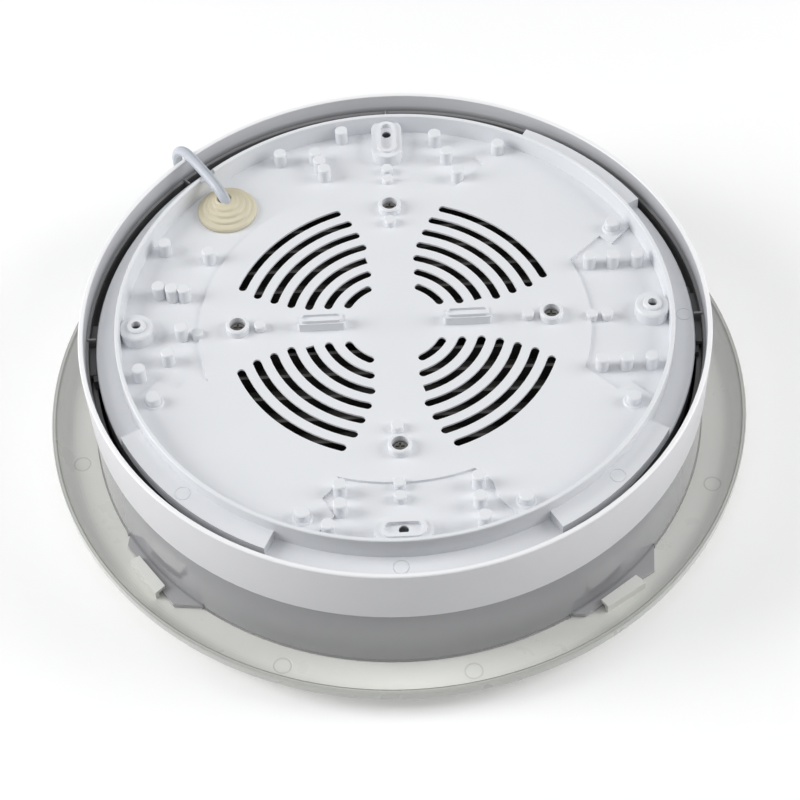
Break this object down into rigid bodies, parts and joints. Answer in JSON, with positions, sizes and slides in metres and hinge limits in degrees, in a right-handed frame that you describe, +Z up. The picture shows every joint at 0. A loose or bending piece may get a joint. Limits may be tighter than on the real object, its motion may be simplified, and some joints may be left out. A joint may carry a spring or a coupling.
{
  "type": "ceiling light fitting",
  "caption": "Round surface-mounted LED ceiling light lying face down: white mounting base with vents and posts, cable grommet and cord, twist-off diffuser bowl and trim ring",
  "frame": {"origin": "Floor level under the centre of the fitting, which lies face down on the flat of its diffuser", "axes": "X to the right and Y away from the viewer who looks at the mounting side with the cable entry at the far left, Z up towards the ceiling side"},
  "size_m": [0.3783, 0.3896, 0.0897],
  "materials": {
    "base_plastic": "satin",
    "shroud_plastic": "satin",
    "diffuser_plastic": "polished",
    "trim_plastic": "satin",
    "seal_rubber": "matte",
    "grommet_rubber": "satin",
    "cord_sheath": "satin",
    "insulation_brown": "satin",
    "insulation_blue": "satin",
    "insulation_green": "satin",
    "insulation_red": "satin",
    "insulation_black": "satin",
    "tinned_copper": "satin",
    "black_aluminium": "matte",
    "zinc_dark": "satin",
    "zinc_bright": "satin",
    "brass_screw": "satin",
    "pad_silicone": "matte",
    "board_white": "satin",
    "board_green": "satin",
    "chip_yellow": "satin",
    "connector_plastic": "satin",
    "driver_plastic": "satin",
    "reflector_white": "satin",
    "component_dark": "matte"
  },
  "bodies": {
    "base": {"base_plate": "base_plastic", "cover_seal": "seal_rubber", "cable_grommet": "grommet_rubber", "supply_cord": "cord_sheath", "core_live": "insulation_brown", "core_neutral": "insulation_blue", "core_earth": "insulation_green", "core_ferrules": "tinned_copper", "heat_sink": "black_aluminium", "heat_sink_screws": "zinc_dark", "thermal_pad": "pad_silicone", "led_board": "board_white", "led_chips": "chip_yellow", "led_board_screws": "zinc_bright", "led_connector": "connector_plastic", "reflector": "reflector_white", "reflector_screws": "zinc_bright", "driver_case": "driver_plastic", "driver_lid": "driver_plastic", "driver_board": "board_green", "driver_parts": "component_dark", "driver_screws": "zinc_bright", "terminal_block": "connector_plastic", "terminal_screws": "brass_screw", "terminal_fixing_screw": "zinc_bright", "inner_cord": "cord_sheath", "cord_clamp": "connector_plastic", "clamp_screws": "zinc_bright", "live_lead": "insulation_brown", "neutral_lead": "insulation_blue", "earth_lead": "insulation_green", "live_wire": "insulation_brown", "neutral_wire": "insulation_blue", "earth_wire": "insulation_green", "earth_eyelet": "tinned_copper", "earth_screw": "brass_screw", "led_wire_plus": "insulation_red", "led_wire_minus": "insulation_black"},
    "cover": {"shroud_ring": "shroud_plastic", "diffuser": "diffuser_plastic"},
    "trim": {"trim_ring": "trim_plastic"}
  },
  "joints": [
    {"name": "cover_twist", "type": "hinge", "parent": "base", "child": "cover", "pos_m": [0, 0, 0.06], "axis": [0, 0, 1], "range_deg": [-15, 0]},
    {"name": "trim_twist", "type": "hinge", "parent": "cover", "child": "trim", "pos_m": [0, 0, 0.01], "axis": [0, 0, 1], "range_deg": [-16, 0]}
  ]
}
